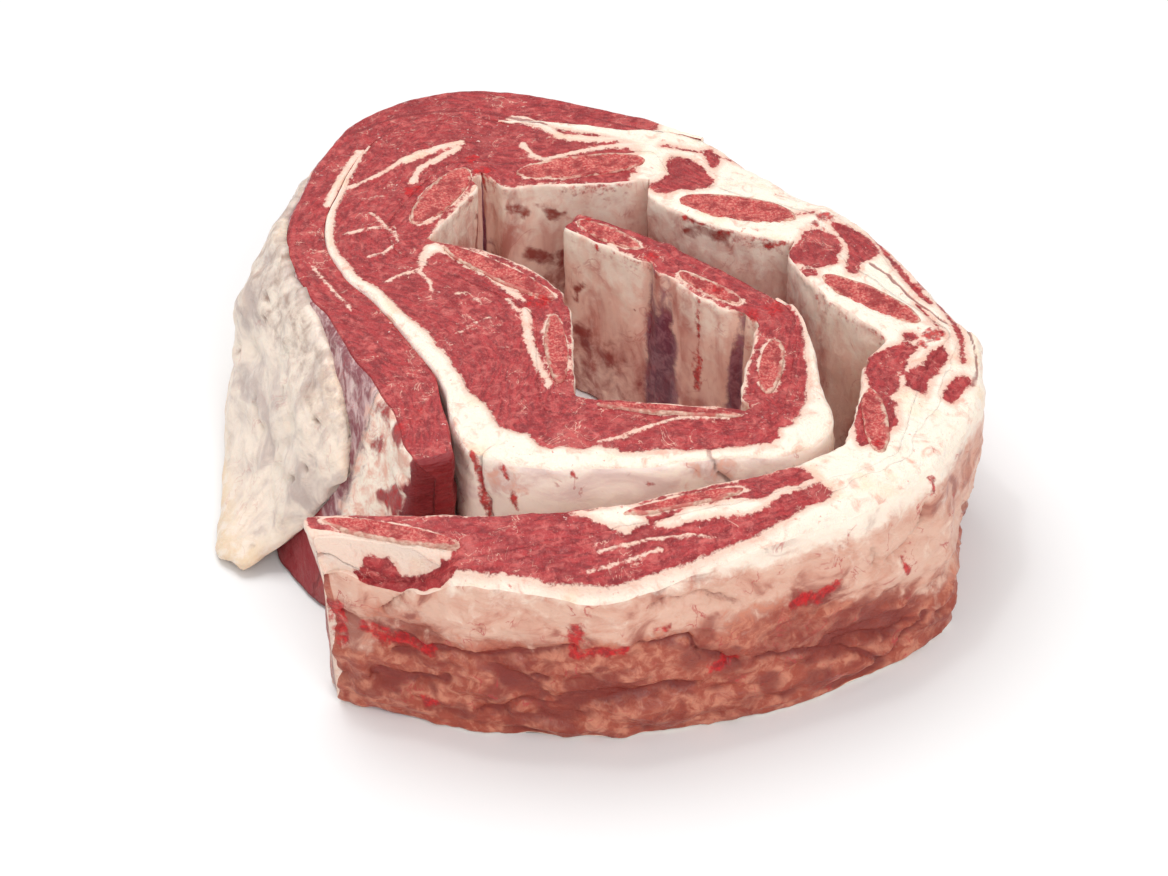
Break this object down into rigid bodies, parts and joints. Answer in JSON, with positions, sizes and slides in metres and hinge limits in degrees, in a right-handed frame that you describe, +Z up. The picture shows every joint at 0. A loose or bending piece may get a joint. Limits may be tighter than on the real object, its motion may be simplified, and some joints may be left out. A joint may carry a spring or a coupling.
{
  "type": "raw rack of ribs",
  "caption": "Sawn strip of raw ribs with lean, fat and a loose flap, rolled up and standing on its cut edge.",
  "frame": {"origin": "middle of the outline in plan, on the surface that the roll stands on", "axes": "+Z up, along the rib bones, through the cut face; the outer end of the strip lies at the front left, towards -X and -Y"},
  "size_m": [0.2252, 0.2332, 0.06],
  "materials": {
    "bone": "moist satin",
    "lean": "moist satin",
    "fat": "moist satin"
  },
  "bodies": {
    "root": {"rib_bone_01": "bone", "rib_bone_02": "bone", "rib_bone_03": "bone", "rib_bone_04": "bone", "rib_bone_05": "bone", "rib_bone_06": "bone", "rib_bone_07": "bone", "rib_bone_08": "bone", "rib_bone_09": "bone", "rib_bone_10": "bone", "rib_bone_11": "bone", "rib_bone_12": "bone", "rib_bone_13": "bone", "rib_bed": "lean", "lean": "lean", "fat_cover": "fat", "fat_seam": "fat", "flap_lean": "lean", "fat_sheet": "fat"}
  },
  "joints": []
}
